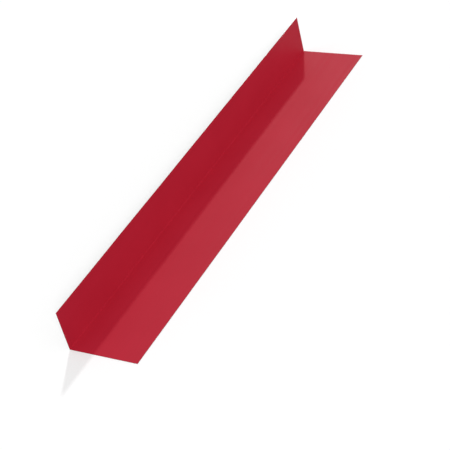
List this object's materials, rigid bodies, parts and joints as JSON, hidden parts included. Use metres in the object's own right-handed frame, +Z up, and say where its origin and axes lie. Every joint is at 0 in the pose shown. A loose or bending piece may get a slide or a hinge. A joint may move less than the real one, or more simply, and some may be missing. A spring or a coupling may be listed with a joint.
{
  "type": "wall abutment flashing",
  "caption": "Long L-shaped folded sheet-metal flashing, red coated: a wide flange lies on the roof and a narrow one stands up the wall to seal the joint between them.",
  "frame": {"origin": "middle of the underside of the roof flange, the face that the piece lies on", "axes": "+X along the length, +Y towards the wall, +Z up the wall flange"},
  "size_m": [2, 0.29, 0.175],
  "materials": {
    "coated_steel": "satin polyester coil coating, carmine red"
  },
  "bodies": {
    "root": {"flashing_sheet": "coated_steel"}
  },
  "joints": []
}
